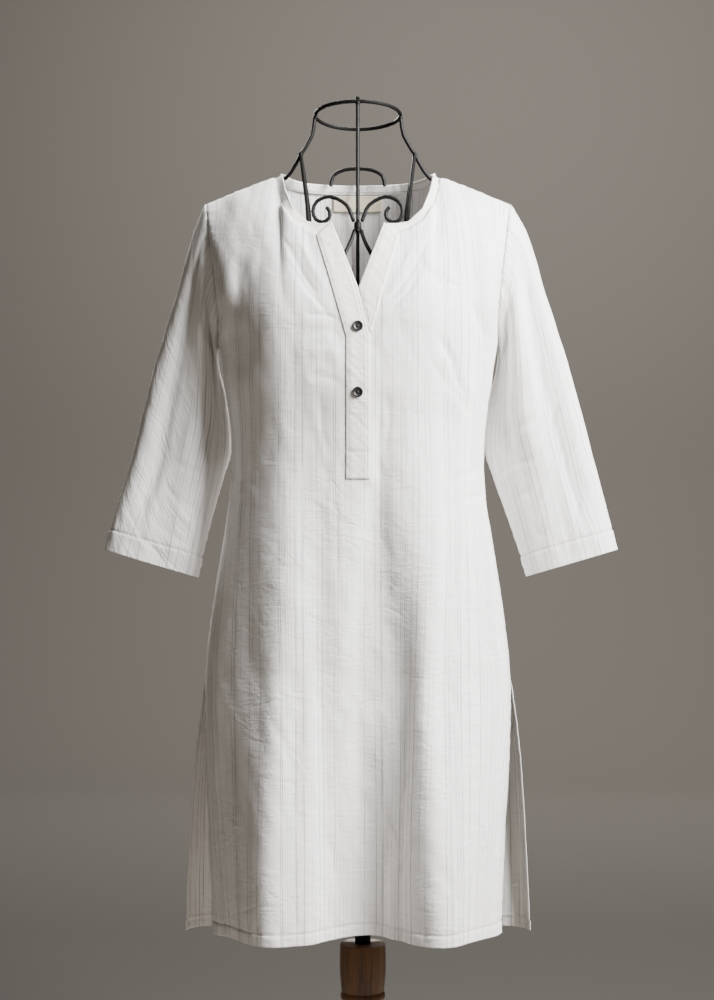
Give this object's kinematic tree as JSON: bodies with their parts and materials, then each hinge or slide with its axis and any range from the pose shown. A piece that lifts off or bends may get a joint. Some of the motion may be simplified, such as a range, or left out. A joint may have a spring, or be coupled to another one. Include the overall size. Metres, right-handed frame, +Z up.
{
  "type": "kurta tunic on a wire dress form",
  "caption": "White cotton kurta tunic with a banded V neck, button placket, three-quarter sleeves and side slits, on a black wire dress form with a turned wooden stand.",
  "frame": {"origin": "middle of the underside of the stand's round base, on the pole's axis", "axes": "+Z up, -Y towards the front of the tunic, +X to the right as seen from the front"},
  "size_m": [0.6157, 0.32, 1.4378],
  "materials": {
    "cotton": "white slub cotton with fine woven grey lines, matte",
    "label": "cream woven tape, bare",
    "buttons": "black, satin",
    "wire": "black satin paint",
    "wood": "brown stained, satin varnish"
  },
  "bodies": {
    "root": {"arch_back": "wire", "back_panel": "cotton", "base": "wood", "button_lower": "buttons", "button_upper": "buttons", "clamp": "wire", "front_panel": "cotton", "hip_ring": "wire", "hip_spoke_1": "wire", "hip_spoke_2": "wire", "hip_spoke_3": "wire", "hip_spoke_4": "wire", "hub": "wire", "neck_band": "cotton", "neck_label": "label", "neck_ring": "wire", "placket_top": "cotton", "placket_under": "cotton", "pole": "wire", "post": "wood", "ring_knob": "wire", "scroll_left": "wire", "scroll_right": "wire", "sleeve_left": "cotton", "sleeve_right": "cotton", "wire_back": "wire", "wire_chest_left": "wire", "wire_chest_right": "wire", "wire_fork_left": "wire", "wire_fork_right": "wire", "wire_front": "wire", "wire_shoulder_left": "wire", "wire_shoulder_right": "wire", "wire_spine_left": "wire", "wire_spine_right": "wire"}
  },
  "joints": []
}
